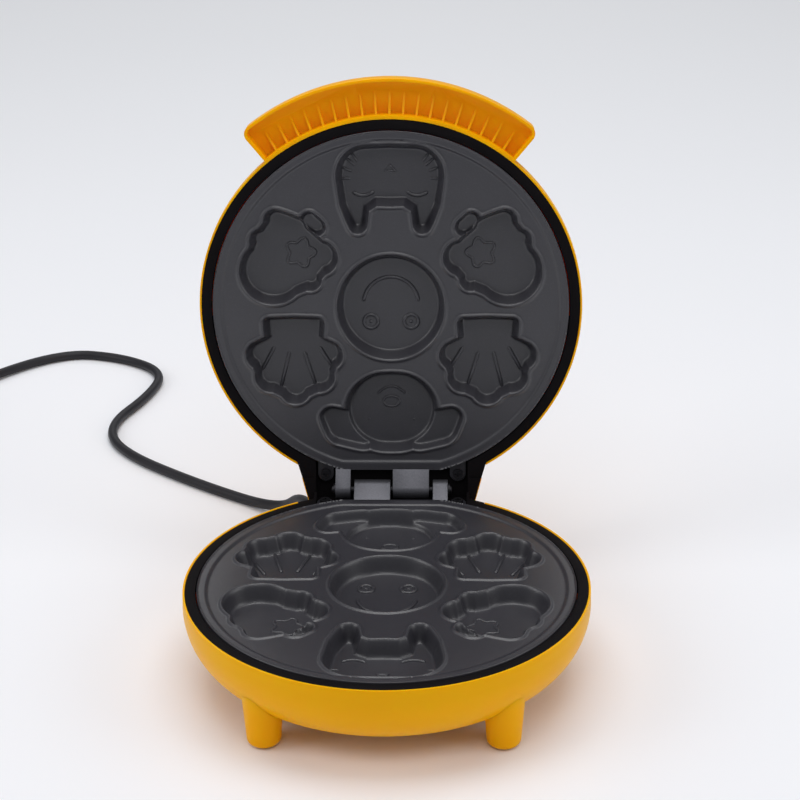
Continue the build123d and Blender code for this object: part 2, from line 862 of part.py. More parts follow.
with BuildPart() as lid_shell:
    with BuildSketch(Plane.XY.offset(lip_drop)):
        with BuildLine():
            Polyline(
                (-tail_front_half, tail_front_v),
                (-tail_root_half, neck_end_v - shell_fit),
                (-tail_end_half, tail_end_v),
                (tail_end_half, tail_end_v),
                (tail_root_half, neck_end_v - shell_fit),
                (tail_front_half, tail_front_v),
                close=True,
            )
        make_face()
    extrude(amount=tail_height - lip_drop)
    back = lid_shell.edges().filter_by(Axis.X).group_by(Axis.Z)[-1].sort_by(Axis.Y)[0]
    fillet(back, tail_round)
    add(dome)
    extrude(handle_plan(lip_drop, 0), amount=handle_depth - lip_drop)
    hollow_plan = handle_plan(lip_drop, handle_rim_wall)
    extrude(hollow_plan, amount=handle_depth - handle_skin - lip_drop, mode=Mode.SUBTRACT)
    for k in range(handle_rib_count):
        a = radians(90 + (k - (handle_rib_count - 1) / 2) * handle_rib_pitch)
        rib_plane = Plane(origin=(0, 0, 0), x_dir=(cos(a), sin(a), 0), z_dir=(sin(a), -cos(a), 0))
        floor = handle_depth - handle_skin
        with BuildSketch(rib_plane):
            with BuildLine():
                Polyline(
                    (shell_radius, floor),
                    (shell_radius, floor - handle_rib_rise),
                    (handle_rib_end, floor),
                    close=True,
                )
            make_face()
    extrude(amount=handle_rib_wall / 2, both=True)
    add(dome_hollow, mode=Mode.SUBTRACT)
    extrude(neck_plan(0, shell_fit), amount=ledge_level, mode=Mode.SUBTRACT)
    with BuildSketch(Plane.XY):
        with Locations((0, (tail_front_v + tail_end_v + tail_wall) / 2)):
            Rectangle(2 * (trough_half + shell_fit), tail_front_v - tail_end_v - tail_wall)
    extrude(amount=tail_height - tail_roof, mode=Mode.SUBTRACT)
    with BuildSketch(Plane.XY.offset(post_level)):
        with Locations(*ring_screw_places):
            Circle(screw_radius + pilot_gap)
    extrude(amount=screw_depth, mode=Mode.SUBTRACT)
    with BuildSketch(Plane.XY.offset(dome_depth - 2 * shell_wall)):
        with Locations(*lamp_places):
            Circle(lens_radius + lens_gap)
    extrude(amount=2 * shell_wall, mode=Mode.SUBTRACT)
finish(lid_shell.part, "lid_shell", lid_face)

# Indicator lamps: a lens pushed into the crown, a neon lamp behind it
for name, place in zip(("power", "ready"), lamp_places):
    with BuildPart() as lens:
        with BuildSketch(Plane.XY.offset(dome_depth)):
            with Locations(place):
                Circle(lens_flange_radius)
        extrude(amount=lens_flange)
        fillet(lens.edges().group_by(Axis.Z)[-1], lens_flange / 2)
        with BuildSketch(Plane.XY.offset(dome_depth)):
            with Locations(place):
                Circle(lens_radius)
        extrude(amount=-lens_depth)
    finish(lens.part, f"{name}_lamp_lens", lid_face)
    with BuildPart() as neon:
        with BuildSketch(Plane.XY.offset(dome_depth - lens_depth - neon_gap)):
            with Locations(place):
                Circle(neon_radius)
        extrude(amount=-neon_length)
    finish(neon.part, f"{name}_lamp", lid_face)

# Feet, each seated on the bowl and held by a screw from beneath, under a rubber pad
foot_end = table_level - pad_proud
seat_form = outer_form(bowl_corner, bowl_widest, foot_seat_gap)
foot_names = ("foot_front_left", "foot_front_right", "foot_rear_left", "foot_rear_right")
screw_start = table_level - pad_thickness - 2 * pad_gap
for name, (u, v) in zip(foot_names, foot_places):
    with BuildPart() as foot:
        with BuildSketch(Plane.XY.offset(foot_end)):
            with Locations((u, v)):
                Circle(foot_end_radius)
        with BuildSketch(Plane.XY.offset(bowl_widest)):
            with Locations((u, v)):
                Circle(foot_top_radius)
        loft()
        fillet(foot.edges().group_by(Axis.Z)[-1], foot_edge_round)
        add(seat_form, mode=Mode.SUBTRACT)
        with BuildSketch(Plane.XY.offset(foot_end)):
            with Locations((u, v)):
                Circle(pad_radius + pad_gap)
        extrude(amount=-(foot_end - screw_start), mode=Mode.SUBTRACT)
        with BuildSketch(Plane.XY.offset(screw_start)):
            with Locations((u, v)):
                Circle(screw_head_radius + screw_hole_gap)
        extrude(amount=-screw_head_height, mode=Mode.SUBTRACT)
        with BuildSketch(Plane.XY.offset(screw_start)):
            with Locations((u, v)):
                Circle(screw_radius + screw_hole_gap)
        extrude(amount=-bowl_depth, mode=Mode.SUBTRACT)
    finish(foot.part, name, base_face)

with BuildPart() as foot_pads:
    with BuildSketch(Plane.XY.offset(table_level)):
        with Locations(*foot_places):
            Circle(pad_radius)
    extrude(amount=-pad_thickness)
finish(foot_pads.part, "foot_pads", base_face)
foot_screws = screws(foot_places, screw_start, screw_start - foot_screw_length)
finish(foot_screws, "foot_screws", base_face)

# Thermostat on a bracket under the reflector, and the thermal fuse in its clip
with BuildPart() as bracket:
    with BuildSketch(Plane.XY.offset(head_level + stack_gap)):
        SlotOverall(bracket_length, bracket_width)
    extrude(amount=bracket_sheet)
finish(bracket.part, "thermostat_bracket", base_face)
bracket_end = head_level + stack_gap + bracket_sheet
with BuildPart() as thermostat:
    with BuildSketch(Plane.XY.offset(bracket_end + stack_gap)):
        Circle(thermostat_radius)
    extrude(amount=thermostat_height)
    with BuildSketch(Plane.XY.offset(bracket_end + stack_gap + thermostat_height)):
        with GridLocations(thermostat_radius, 0, 2, 1):
            Rectangle(blade_sheet, blade_width)
    extrude(amount=blade_length)
finish(thermostat.part, "thermostat", base_face)

fuse_level = head_level + fuse_clip_wall + fuse_radius + 2 * stack_gap
with BuildPart() as fuse:
    with BuildSketch(across(Plane.XY, fuse_place[0] - fuse_length / 2)):
        with Locations((fuse_place[1], fuse_level)):
            Circle(fuse_radius)
    extrude(amount=fuse_length)
finish(fuse.part, "thermal_fuse", base_face)
with BuildPart() as fuse_clip:
    with BuildSketch(across(Plane.XY, fuse_place[0] - fuse_clip_width / 2)):
        with Locations((fuse_place[1], fuse_level)):
            Circle(fuse_radius + fuse_clip_wall + stack_gap)
            Circle(fuse_radius + stack_gap, mode=Mode.SUBTRACT)
    extrude(amount=fuse_clip_width)
finish(fuse_clip.part, "fuse_clip", base_face)

# Terminal block on the floor of the bowl
block_end = bowl_depth - shell_wall - stack_gap
with BuildPart() as terminal_block:
    with BuildSketch(Plane.XY.offset(block_end)):
        with Locations(block_place):
            Rectangle(block_length, block_width)
    extrude(amount=-block_height)
    with BuildSketch(Plane.XY.offset(block_end - block_height)):
        with Locations(block_place):
            with GridLocations(block_length / 3, 0, 3, 1):
                Circle(screw_head_radius)
    extrude(amount=block_height / 2, mode=Mode.SUBTRACT)
finish(terminal_block.part, "terminal_block", base_face)

# Strain relief, pushed through the boss of the bowl, with a long taper round the cord
with BuildPart() as cord_gland:
    with BuildSketch(gland_plane):
        Circle(gland_neck_radius)
    extrude(amount=-gland_inside)
    with BuildSketch(gland_plane):
        Circle(gland_flange_radius)
    extrude(amount=gland_flange)
    with BuildSketch(gland_plane.offset(gland_flange)):
        Circle(gland_root_radius)
    with BuildSketch(gland_plane.offset(gland_length)):
        Circle(gland_tip_radius)
    loft()
finish(cord_gland.part, "cord_gland", base_face)

# Mains cord: out of the strain relief, down to the table and away to the left. Its route
# is chosen by hand, first the points along the table.
table_points = [
    (-71, 148),
    (-127, 185),
    (-184, 233),
    (-197.5, 274),
    (-177, 323),
    (-171, 365),
    (-205, 393),
    (-252, 402),
]
coil_entry = (-310.0, 295.0)
coil_turn_in = (-310.0, 339.0)
first_run = 26.0
corner_share = 0.45

cord_level = cord_radius + cord_level_gap
coil_level = cord_radius + tie_thickness + tie_gap + cord_level_gap
coil_pitch = 2 * cord_radius + coil_gap
outer_turn = coil_inner_radius + coil_pitch
second_turn = coil_inner_radius + coil_pitch / 2
coil_tie_reach = outer_turn
coil_tie_y = coil_entry[1] - 2 * cord_radius + sqrt(second_turn**2 - (coil_pitch / 2) ** 2)
tip = Plane(base_face.location * gland_plane.offset(gland_length).location)
cord_points = [tip.origin, tip.origin + tip.z_dir * first_run]
cord_points += [Vector(x, y, cord_level) for x, y in table_points]
cord_points += [Vector(*coil_turn_in, coil_level), Vector(*coil_entry, coil_level)]


def corner_radius(before, corner, after):
    # As round as the shorter of the two runs that meet here allows
    turning = (corner - before).get_angle(after - corner)
    run = min((corner - before).length, (after - corner).length)
    return corner_share * run / tan(radians(turning / 2))


cord_radii = [corner_radius(*cord_points[k - 1 : k + 2]) for k in range(1, len(cord_points) - 1)]
with BuildPart() as mains_cord:
    with BuildLine() as cord_route:
        FilletPolyline(*cord_points, radius=cord_radii)
    with BuildSketch(tip):
        Circle(cord_radius)
    sweep()
finish(mains_cord.part, "mains_cord", Plane.XY)
cord_length = cord_route.wire().length
print("cord corner radii", [round(r, 1) for r in cord_radii])
print("cord volume over section x length", mains_cord.part.volume / (pi * cord_radius**2 * cord_length))

# The rest of the cord lies coiled: half turns on two levels, the middle one climbing
coil_turns = [
    (outer_turn, 0),
    (second_turn, 0),
    (coil_inner_radius, coil_pitch),
    (second_turn, 0),
    (outer_turn, 0),
]
with BuildPart() as cord_coil:
    with BuildLine() as coil_route:
        here = Vector(*coil_entry, coil_level)
        way = Vector(0, -1, 0)
        lead = Line(here, here + way * 2 * cord_radius)
        here = lead @ 1
        for radius, climb in coil_turns:
            side = -1 if way.Y < 0 else 1
            middle = here + Vector(side * radius, 0, climb / 2) + way * hypot(radius, climb / 2)
            rise = TangentArc(here, middle, tangent=way)
            here += Vector(2 * side * radius, 0, climb)
            TangentArc(middle, here, tangent=rise % 1)
            way = -way
        Line(here, here + way * plug_lead)
    with BuildSketch(Plane(origin=Vector(*coil_entry, coil_level), z_dir=(0, -1, 0))):
        Circle(cord_radius)
    sweep()
finish(cord_coil.part, "cord_coil", Plane.XY)


def least_gap(route, spacing):
    # Least room between stretches of a tube that lie more than a quarter turn apart
    length = route.length
    count = round(length / spacing)
    points = [route @ (k / count) for k in range(count + 1)]
    apart = round(pi / 2 * coil_inner_radius / spacing)
    nearest = min(
        (points[j] - points[i]).length
        for i in range(count + 1)
        for j in range(i + apart, count + 1)
    )
    return nearest - 2 * cord_radius


coil_length = coil_route.wire().length
print("free cord", round(cord_length), "mm, coil", round(coil_length), "mm")
print("least gap between the coil's turns", round(least_gap(coil_route.wire(), 1.5), 2))

# Tie round the two stacked turns on the far side of the coil
tie_places = [
    Vector(coil_entry[0] - coil_tie_reach, coil_tie_y, level)
    for level in (coil_level, coil_level + coil_pitch)
]
with BuildPart() as cord_tie:
    for reach, mode in ((tie_gap + tie_thickness, Mode.ADD), (tie_gap, Mode.SUBTRACT)):
        with BuildSketch(across(Plane.XY, tie_places[0].X - tie_width / 2)):
            for place in tie_places:
                with Locations((place.Y, place.Z)):
                    Circle(cord_radius + reach)
            make_hull()
        extrude(amount=tie_width, mode=mode)
finish(cord_tie.part, "cord_tie", Plane.XY)

# Plug at the end of the coil, standing on the table
plug_end = Plane(origin=coil_route.wire() @ 1, x_dir=(1, 0, 0), z_dir=(0, 1, 0))
with BuildPart() as plug_body:
    with BuildSketch(plug_end):
        Circle(plug_collar_radius)
    extrude(amount=plug_collar_length)
    with BuildSketch(plug_end.offset(plug_collar_length)):
        RectangleRounded(plug_width, plug_height, plug_round)
    extrude(amount=plug_length)
    face_edges = plug_body.edges().group_by(Axis.Y)[-1]
    chamfer(face_edges, plug_edge)
finish(plug_body.part, "plug_body", Plane.XY)

with BuildPart() as plug_pins:
    with BuildSketch(plug_end.offset(plug_collar_length + plug_length)):
        with GridLocations(plug_pin_spacing, 0, 2, 1):
            Circle(plug_pin_radius)
    extrude(amount=plug_pin_length)
    fillet(plug_pins.edges().group_by(Axis.Y)[-1], plug_pin_radius / 2)
finish(plug_pins.part, "plug_pins", Plane.XY)
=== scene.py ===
from math import cos, pi, radians, sin, tan

import bmesh
import bpy
import numpy as np
from mathutils import Matrix, Vector


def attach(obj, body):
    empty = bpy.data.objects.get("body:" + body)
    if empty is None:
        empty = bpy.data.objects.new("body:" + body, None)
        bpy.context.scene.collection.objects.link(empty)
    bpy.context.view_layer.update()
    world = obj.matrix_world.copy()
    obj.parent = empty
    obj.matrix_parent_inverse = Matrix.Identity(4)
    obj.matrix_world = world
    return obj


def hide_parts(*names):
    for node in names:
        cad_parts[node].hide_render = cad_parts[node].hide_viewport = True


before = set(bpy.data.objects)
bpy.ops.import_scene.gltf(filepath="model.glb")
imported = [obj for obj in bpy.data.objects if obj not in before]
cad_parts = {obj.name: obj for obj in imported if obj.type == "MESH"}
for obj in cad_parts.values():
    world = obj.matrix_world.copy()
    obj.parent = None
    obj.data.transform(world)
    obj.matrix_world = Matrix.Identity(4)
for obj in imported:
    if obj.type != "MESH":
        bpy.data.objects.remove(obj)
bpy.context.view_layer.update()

# Camera: a long lens a little above the open lid, looking down at the baking plates,
# almost straight at the front.
camera = bpy.data.objects.new("camera", bpy.data.cameras.new("camera"))
bpy.context.scene.collection.objects.link(camera)
bpy.context.scene.camera = camera
camera.data.sensor_width = 36.0
camera.data.lens = 90.59
camera_place = (0.03108, -0.96125, 0.57090)
camera_yaw, camera_height, camera_roll = radians(1.429), radians(23.936), radians(-0.503)
backward = Vector((
    sin(camera_yaw) * cos(camera_height),
    -cos(camera_yaw) * cos(camera_height),
    sin(camera_height),
))
level_right = (-backward).cross(Vector((0, 0, 1))).normalized()
level_up = level_right.cross(-backward)
camera_right = level_right * cos(camera_roll) + level_up * sin(camera_roll)
camera_up = level_up * cos(camera_roll) - level_right * sin(camera_roll)
camera_turn = Matrix((camera_right, camera_up, backward)).transposed().to_4x4()
camera.matrix_world = Matrix.Translation(camera_place) @ camera_turn
camera.data.clip_end = 20.0


# Mains cord: one length of round rubber-sheathed lead, soft black and slightly satin.
# It leaves the strain relief at the back left, drops to the table and runs off in a loose
# S; the rest of its length is coiled to the left of the view, where the plug lies.
class Value:
    # One output of a shader node, which can be added, subtracted and multiplied
    def __init__(self, paint, socket):
        self.paint = paint
        self.socket = socket

    def work(self, operation, first, second=0.0):
        maker = self.paint.node("ShaderNodeMath", {"operation": operation}, {0: first, 1: second})
        return maker.out("Value")

    def __add__(self, other):
        return self.work("ADD", self, other)

    def __radd__(self, other):
        return self.work("ADD", other, self)

    def __sub__(self, other):
        return self.work("SUBTRACT", self, other)

    def __rsub__(self, other):
        return self.work("SUBTRACT", other, self)

    def __mul__(self, other):
        return self.work("MULTIPLY", self, other)

    def __rmul__(self, other):
        return self.work("MULTIPLY", other, self)


class Made:
    # A shader node that has been made, whose outputs are taken by name or number
    def __init__(self, paint, node):
        self.paint = paint
        self.node = node

    def out(self, which):
        return Value(self.paint, self.node.outputs[which])


class Paint:
    # A material and its shader
    def __init__(self, name, **fixed):
        self.material = bpy.data.materials.new(name)
        self.material.use_nodes = True
        self.tree = self.material.node_tree
        self.shader = self.tree.nodes["Principled BSDF"]
        for label, value in fixed.items():
            title = label.replace("_", " ").title().replace("Ior", "IOR")
            self.shader.inputs[title].default_value = value
        self.place = self.node("ShaderNodeTexCoord", {}, {}).out("Object")

    def node(self, kind, settings, inputs):
        made = self.tree.nodes.new(kind)
        for key, value in settings.items():
            setattr(made, key, value)
        for key, value in inputs.items():
            self.feed(made.inputs[key], value)
        return Made(self, made)

    def feed(self, socket, value):
        if isinstance(value, Value):
            self.tree.links.new(value.socket, socket)
        else:
            socket.default_value = value

    def noise(self, size, detail=2.0, rough=0.5):
        inputs = {"Vector": self.place, "Scale": 1.0 / size, "Detail": detail, "Roughness": rough}
        return self.node("ShaderNodeTexNoise", {}, inputs).out("Fac")

    def ramp(self, value, low, high):
        inputs = {"Value": value, 1: low, 2: high}
        return self.node("ShaderNodeMapRange", {}, inputs).out("Result")

    def mix(self, share, first, second):
        inputs = {0: share, 6: first, 7: second}
        return self.node("ShaderNodeMix", {"data_type": "RGBA"}, inputs).out(2)

    def bumps(self, height, distance, strength=1.0):
        inputs = {"Height": height, "Distance": distance, "Strength": strength}
        return self.node("ShaderNodeBump", {}, inputs).out("Normal")

    def finish(self, colour, roughness, normal=None):
        self.feed(self.shader.inputs["Base Color"], colour)
        self.feed(self.shader.inputs["Roughness"], roughness)
        if normal is not None:
            self.feed(self.shader.inputs["Normal"], normal)
        return self.material


def screen_colour(red, green, blue):
    # A colour given as it looks on a screen, 0 to 255 each
    shares = [c / 255 for c in (red, green, blue)]
    return tuple(c / 12.92 if c < 0.04045 else ((c + 0.055) / 1.055) ** 2.4 for c in shares) + (1.0,)


cord_exit = (-0.04599, 0.09595, 0.029)
cord_radius = 0.00315
cord_bottom = 0.00325
coil_level = 0.00455
coil_rise = 0.0069
cord_route = [
    cord_exit,
    (-0.05488, 0.12038, 0.029),
    (-0.071, 0.148, cord_bottom),
    (-0.127, 0.185, cord_bottom),
    (-0.184, 0.233, cord_bottom),
    (-0.1975, 0.274, cord_bottom),
    (-0.177, 0.323, cord_bottom),
    (-0.171, 0.365, cord_bottom),
    (-0.205, 0.393, cord_bottom),
    (-0.252, 0.402, cord_bottom),
    (-0.310, 0.339, coil_level),
    (-0.310, 0.295, coil_level),
]
coil_turn_y = 0.2887
points_per_half = 8
coil_end_x = -0.3824
# Each half turn of the coil: middle, radius, height at its start and rise along it
half_turns = [
    (-0.34620, 0.03620, 0.0, 0.0),
    (-0.34965, 0.03275, 0.0, 0.0),
    (-0.34620, 0.02930, 0.0, coil_rise),
    (-0.34275, 0.03275, coil_rise, 0.0),
    (-0.34620, 0.03620, coil_rise, 0.0),
]
half_step = pi / points_per_half / 2
for k, (middle_x, coil_radius, start_rise, climb) in enumerate(half_turns):
    for j in range(points_per_half):
        angle = -pi * k - half_step * (2 * j + 1)
        reach = coil_radius / cos(half_step)
        rise = start_rise + climb * (j + 0.5) / points_per_half
        place = (middle_x + reach * cos(angle), coil_turn_y + reach * sin(angle), coil_level + rise)
        cord_route.append(place)
for y in (0.300, 0.316, 0.333):
    cord_route.append((coil_end_x, y, coil_level + coil_rise))
cord_line = bpy.data.curves.new("mains_lead", "CURVE")
cord_line.dimensions = "3D"
cord_spline = cord_line.splines.new("NURBS")
cord_spline.points.add(len(cord_route) - 1)
for point, place in zip(cord_spline.points, cord_route):
    point.co = (*place, 1.0)
cord_spline.order_u = 3
cord_spline.use_endpoint_u = True
cord_spline.resolution_u = 10
cord_line.bevel_depth = cord_radius
cord_line.bevel_resolution = 7
cord_line.use_fill_caps = True
mains_lead = bpy.data.objects.new("mains_lead", cord_line)
bpy.context.scene.collection.objects.link(mains_lead)
paint = Paint("cord_sheath", specular_ior_level=0.3)
fine = paint.noise(0.0006, 3.0)
broad = paint.noise(0.02, 2.0)
colour = paint.mix(broad, screen_colour(24, 23, 27), screen_colour(38, 37, 42))
sheath_paint = paint.finish(colour, 0.38 + 0.14 * fine, paint.bumps(fine, 0.00004))
cord_line.materials.append(sheath_paint)
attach(mains_lead, "base")
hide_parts("mains_cord", "cord_coil")


# Strain relief: a soft rubber sleeve moulded round the cord, with a flange seated on the
# bowl's boss and ring grooves along its taper so that it can bend with the cord.
gland_tip = Vector(cord_exit)
gland_turn = radians(20)
gland_way = Vector((-sin(gland_turn), cos(gland_turn), 0))
gland_length = 0.028
# Radius and height of each corner from the flange's seat, in millimetres
gland_profile = [(0, -9), (4.7, -9), (5, -8.7), (5, 0), (7.1, 0), (7.5, 0.4), (7.5, 1.5), (7.0, 2)]
groove_count = 5
groove_spacing = 4.3
groove_shape = ((0, 0), (0.3, 0.35), (0.6, 0.75), (1.4, 0.75), (1.7, 0.35), (2.0, 0))
for k in range(groove_count):
    start = 4.2 + groove_spacing * k
    for along, sunk in groove_shape:
        share = (start + along - 2) / 26
        gland_profile.append((6.2 - 1.8 * share - sunk, start + along))
gland_profile += [(4.45, 27.2), (4.2, 27.8), (3.9, 28), (3.1, 28), (3.1, 25), (0, 25)]


def turned(form, profile, seat, way, steps=64):
    # Turns a profile of (radius, height) in millimetres round an axis that starts at seat
    side = way.orthogonal().normalized()
    row = [form.verts.new(seat + way * (t * 0.001) + side * (r * 0.001)) for r, t in profile]
    edges = [form.edges.new(ends) for ends in zip(row, row[1:])]
    bmesh.ops.spin(
        form, geom=row + edges, cent=seat, axis=way, angle=2 * pi, steps=steps, use_merge=True
    )
    bmesh.ops.remove_doubles(form, verts=form.verts, dist=1e-6)
    bmesh.ops.recalc_face_normals(form, faces=form.faces)


def new_piece(name, form, body, material, nodes, crease=40):
    # Makes an object of a finished form; edges sharper than crease degrees stay crisp
    for face in form.faces:
        face.smooth = True
    for edge in form.edges:
        edge.smooth = edge.calc_face_angle(0.0) < radians(crease)
    mesh = bpy.data.meshes.new(name)
    form.to_mesh(mesh)
    form.free()
    mesh.materials.append(material)
    made = bpy.data.objects.new(name, mesh)
    bpy.context.scene.collection.objects.link(made)
    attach(made, body)
    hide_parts(*nodes)
    return made


paint = Paint("soft_rubber", specular_ior_level=0.35)
fine = paint.noise(0.0005, 3.0)
broad = paint.noise(0.012)
colour = paint.mix(broad, screen_colour(24, 24, 25), screen_colour(38, 37, 39))
rubber_paint = paint.finish(colour, 0.55 + 0.15 * fine, paint.bumps(fine, 0.00005))
form = bmesh.new()
turned(form, gland_profile, gland_tip - gland_way * gland_length, gland_way)
new_piece("strain_relief", form, "base", rubber_paint, ["cord_gland"])


# Plug: a solid rubber moulding at the end of the cord, its edges rounded by the mould.
# The bare pins and the strap round the coil keep their own forms.
def round_edges(form, angle, width):
    # Rounds the edges that are sharper than an angle in degrees
    sharp = [e for e in form.edges if e.calc_face_angle(0.0) > radians(angle)]
    bmesh.ops.bevel(
        form, geom=sharp, offset=width, offset_type="OFFSET", affect="EDGES",
        segments=2, profile=0.5, clamp_overlap=True, material=-1,
    )


def from_cad(node, width):
    # A copy of a part's own mesh with its seams merged, flat areas joined and edges rounded
    form = bmesh.new()
    form.from_mesh(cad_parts[node].data)
    bmesh.ops.remove_doubles(form, verts=form.verts, dist=2e-6)
    bmesh.ops.dissolve_limit(
        form, angle_limit=radians(0.4), use_dissolve_boundaries=False,
        verts=form.verts, edges=form.edges,
    )
    round_edges(form, 35, width)
    return form


def dress(material, *nodes):
    # Gives a part that keeps its own mesh its finish
    for node in nodes:
        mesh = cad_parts[node].data
        mesh.materials.clear()
        mesh.materials.append(material)


plug = new_piece(
    "plug", from_cad("plug_body", 0.0009), "base", rubber_paint, ["plug_body"]
)
paint = Paint("nickel_plate", metallic=1.0)
brushed = paint.noise(0.0007, 4.0)
colour = paint.mix(brushed, screen_colour(196, 193, 184), screen_colour(222, 219, 211))
pin_paint = paint.finish(colour, 0.2 + 0.14 * brushed, paint.bumps(brushed, 0.00002))
dress(pin_paint, "plug_pins")
paint = Paint("strap_plastic")
fine = paint.noise(0.0008, 2.0)
colour = paint.mix(fine, screen_colour(26, 26, 27), screen_colour(36, 36, 38))
dress(paint.finish(colour, 0.42 + 0.1 * fine, paint.bumps(fine, 0.00003)), "cord_tie")


# Baking plates: two aluminium castings with a dark satin non-stick coating, one face up in
# the base and one turned over in the lid. The pockets have drafted walls, a bead along the
# edge and raised lines on the floor. Sizes are in millimetres, u across and v to the front.
plate_radius = 100.0
rear_chord = 95.8
rear_corner = 27.0
edge_rings = ((0.3, 0.06), (0.08, 0.25), (0.0, 0.6), (0.0, 8.0))
grid_step = 0.62
rim_land = 3.8
rim_fall = 1.8
channel_start = 0.7
channel_width = 3.1
channel_depth = 0.4
flat_level = 1.5
bead_top = 0.6
bead_reach = 1.35
bead_land = 0.8
deep_floor = 10.5
shallow_floor = 7.0
wall_slope = 1 / tan(radians(18))
wall_softness, floor_softness = 0.25, 0.6
line_sunk = 0.15
broad_line, fine_line = 1.15, 0.85
knuckles_reach = 0.034
shell_root = (-54.7, -18, 8)
star_middle = (-58, 28, 14)


def mirrored(lobes):
    # The same circles on the other side of the plate
    return [[(-u, v, r) for u, v, r in lobe] for lobe in lobes]


cat_side = [[(-18, 47.5, 6.2), (-19.5, 60, 9.4)], [(-19.5, 60, 9.4), (-13, 75, 17.8)]]
shell_petals = [
    [(-54.7, -47.5, 10), shell_root],
    [(-68.2, -40.5, 10), shell_root],
    [(-41.2, -40.5, 10), shell_root],
    [(-73.5, -28, 9.5), shell_root],
    [(-35.9, -28, 9.5), shell_root],
    [(-68.3, -9.5, 4.7), (-41.1, -9.5, 4.7), (-66, -20, 6), (-43.4, -20, 6)],
    [(-54.7, -47.5, 8.4), (-68.2, -40.5, 8.4), (-41.2, -40.5, 8.4), (-73.5, -28, 7.9),
     (-35.9, -28, 7.9), (-66, -20, 6.4), (-43.4, -20, 6.4)],
]
star_lobes = [
    [(-71.5, 38, 8), star_middle],
    [(-63.5, 49, 8), (-53, 44, 9), star_middle],
    [(-39.5, 28.5, 11), star_middle],
    [(-45, 16, 7.3), star_middle],
    [(-66, 20.5, 19.5), star_middle],
    [(-71.5, 38, 6.4), (-63.5, 49, 6.4), (-53, 44, 7.4), (-39.5, 28.5, 9.4), (-45, 16, 5.7),
     (-66, 20.5, 17.9)],
]
star_tab = [[(-45, 49.3, 6.3), (-41, 46, 6)]]
dog_ear = [[(-34, -65, 7.6), (-28, -71, 11), (-16, -73, 11.8)]]
pockets = [
    ([[(0, 0, 31.0)]], deep_floor),
    ([[(-13, 75, 17.8), (13, 75, 17.8)]] + cat_side + mirrored(cat_side), deep_floor),
    ([[(-3, -61.5, 24.5), (3, -61.5, 24.5)]], deep_floor),
]
for lobes, floor in (
    (shell_petals, deep_floor),
    (star_lobes, deep_floor),
    (star_tab, shallow_floor),
    (dog_ear, shallow_floor),
):
    pockets += [(lobes, floor), (mirrored(lobes), floor)]


def bow(start, middle, end, count=9):
    # Points of a shallow curve through three points
    shares = [k / (count - 1) for k in range(count)]
    return [
        tuple(
            2 * (s - 0.5) * (s - 1) * a + 4 * s * (1 - s) * m + 2 * s * (s - 0.5) * b
            for a, m, b in zip(start, middle, end)
        )
        for s in shares
    ]


def ring_line(u, v, wide, deep, count=28):
    # Points of an oval, closed
    turns = [2 * pi * k / count for k in range(count + 1)]
    return [(u + wide * cos(t), v + deep * sin(t)) for t in turns]


smile_radius, smile_v = 15.56, 0.15
smile = [
    (smile_radius * cos(t), smile_v + smile_radius * sin(t))
    for t in np.linspace(radians(8), radians(172), 33)
]
star_u, star_v, star_turn = -50.7, 29.7, radians(16)
star_radius, star_wave = 7.3, 1.4
star = []
for t in np.linspace(0, 2 * pi, 51):
    reach = star_radius + star_wave * cos(5 * t)
    star.append((star_u + reach * sin(t + star_turn), star_v + reach * cos(t + star_turn)))
broad_lines = [smile]
fine_lines = [[(-2.8, 76), (2.8, 76), (0, 79.3), (-2.8, 76)]]
fine_lines += [ring_line(0, -57.5, 4.6, 3.1), bow((-7.5, -52.5), (0, -48.5), (7.5, -52.5))]
one_side_broad = [
    ring_line(-11.4, -10.2, 4.0, 4.0),
    [(-11.4, -10.2), (-11.5, -10.2)],
    bow((-20.2, 63.8), (-14.8, 62.2), (-9.6, 64.2)),
    [(-67, -26), (-73.4, -37.8)],
    [(-58.2, -29), (-63.2, -48.5)],
    [(-49.4, -29), (-43.2, -48.5)],
    [(-40.4, -26), (-33, -38)],
]
one_side_fine = [
    [(-26.5, 71.8), (-22.8, 71.8)],
    [(-26.2, 77.8), (-22, 76.1)],
    [(-24, 83), (-20, 79.4)],
    [(-21.4, 86), (-18.4, 81.8)],
    [(-12.9, -68.1), (-13, -68.1)],
    star,
]
for lines, one_side in ((broad_lines, one_side_broad), (fine_lines, one_side_fine)):
    lines += one_side + [[(-u, v) for u, v in line] for line in one_side]


def soft_step(value, softness):
    # Zero below nothing, the value itself above it, with a round bend between
    return softness * np.logaddexp(0, value / softness)


def hull_gap(places, lobe):
    # How far points lie outside the hull of a lobe's circles; inside it is negative
    turns = np.arange(90) * (2 * pi / 90)
    ways = np.stack([np.cos(turns), np.sin(turns)])
    reach = np.max([u * ways[0] + v * ways[1] + r for u, v, r in lobe], axis=0)
    return np.max(places @ ways - reach, axis=1)


def edge_gap(places):
    # Distance inside the plate's outline
    return np.minimum(plate_radius - np.hypot(places[:, 0], places[:, 1]), places[:, 1] + rear_chord)


